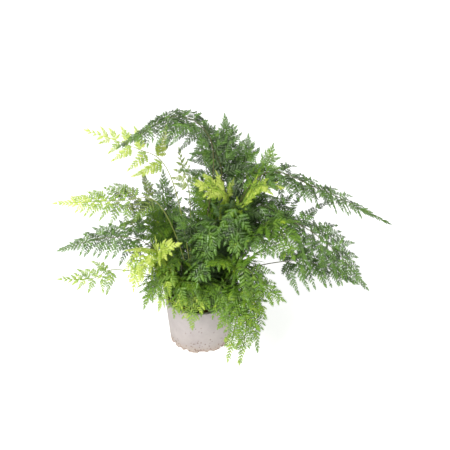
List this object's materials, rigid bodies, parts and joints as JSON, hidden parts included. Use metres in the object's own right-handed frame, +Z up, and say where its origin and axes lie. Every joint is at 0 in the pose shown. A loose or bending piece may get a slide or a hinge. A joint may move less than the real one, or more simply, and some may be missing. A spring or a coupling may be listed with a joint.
{
  "type": "potted fern",
  "caption": "Small potted rabbit's-foot fern: lacy arching and trailing fronds, dark and fresh lime, growing from a clump of soil in a tapered stoneware pot.",
  "frame": {"origin": "centre of the pot's flat underside", "axes": "+Z up, plant's front towards -Y, +X to the right seen from the front"},
  "size_m": [0.5504, 0.353, 0.4111],
  "materials": {
    "pot_stoneware": "matt grey-beige stoneware, smooth above, rough and speckled with small brown pits round its chipped foot",
    "potting_soil": "loose dark potting soil",
    "rhizome_scales": "brown papery scales",
    "leaf_mature": "leathery dark green, semi-gloss above, paler and matt below",
    "leaf_green": "mid green, semi-gloss",
    "leaf_lime": "thin fresh lime green, slightly translucent"
  },
  "bodies": {
    "root": {"pot": "pot_stoneware", "soil": "potting_soil", "rhizome_left": "rhizome_scales", "rhizome_right": "rhizome_scales", "rhizome_back": "rhizome_scales", "frond_crown_arching_left": "leaf_mature", "frond_crown_left_dark": "leaf_mature", "frond_crown_top": "leaf_mature", "frond_crown_top_right": "leaf_mature", "frond_upper_left_lime": "leaf_lime", "frond_upper_left_young": "leaf_lime", "frond_far_right_arching": "leaf_mature", "frond_top_right_small": "leaf_green", "frond_top_right_lime": "leaf_lime", "frond_right_broad": "leaf_mature", "frond_right_low": "leaf_mature", "frond_right_upright": "leaf_mature", "frond_right_middle": "leaf_mature", "frond_right_vivid": "leaf_green", "frond_right_drooping": "leaf_green", "frond_left_long_lime": "leaf_lime", "frond_left_dark": "leaf_mature", "frond_left_low_small": "leaf_lime", "frond_left_lime_droop": "leaf_lime", "frond_left_lime_front": "leaf_lime", "frond_left_lime_low": "leaf_lime", "frond_left_inner": "leaf_green", "frond_left_inner_tall": "leaf_mature", "frond_centre_lime": "leaf_lime", "frond_centre_hanging": "leaf_mature", "frond_centre_right_hanging": "leaf_mature", "frond_centre_left_dark": "leaf_mature", "frond_centre_front_dark": "leaf_mature", "frond_centre_front_left": "leaf_green", "frond_centre_front_right": "leaf_green", "frond_centre_back_tall": "leaf_green", "frond_centre_right_low": "leaf_mature", "frond_rim_left_mid": "leaf_green", "frond_rim_left_lime": "leaf_lime", "frond_rim_left_low": "leaf_green", "frond_rim_right_low": "leaf_green", "frond_rim_front_left": "leaf_green", "frond_front_left": "leaf_green", "frond_front_centre": "leaf_green", "frond_front_centre_drip": "leaf_lime", "frond_front_right": "leaf_green", "frond_front_right_up": "leaf_green", "frond_cascade_long": "leaf_green", "frond_cascade_middle": "leaf_green", "frond_cascade_left": "leaf_green", "frond_cascade_dark": "leaf_green", "frond_cascade_right": "leaf_green", "frond_back_left_tall": "leaf_mature", "frond_back_centre": "leaf_mature", "frond_back_right": "leaf_mature", "frond_back_low_left": "leaf_green", "frond_back_low_right": "leaf_green", "frond_back_rim": "leaf_lime", "frond_right_back": "leaf_mature", "frond_left_back": "leaf_green"}
  },
  "joints": []
}
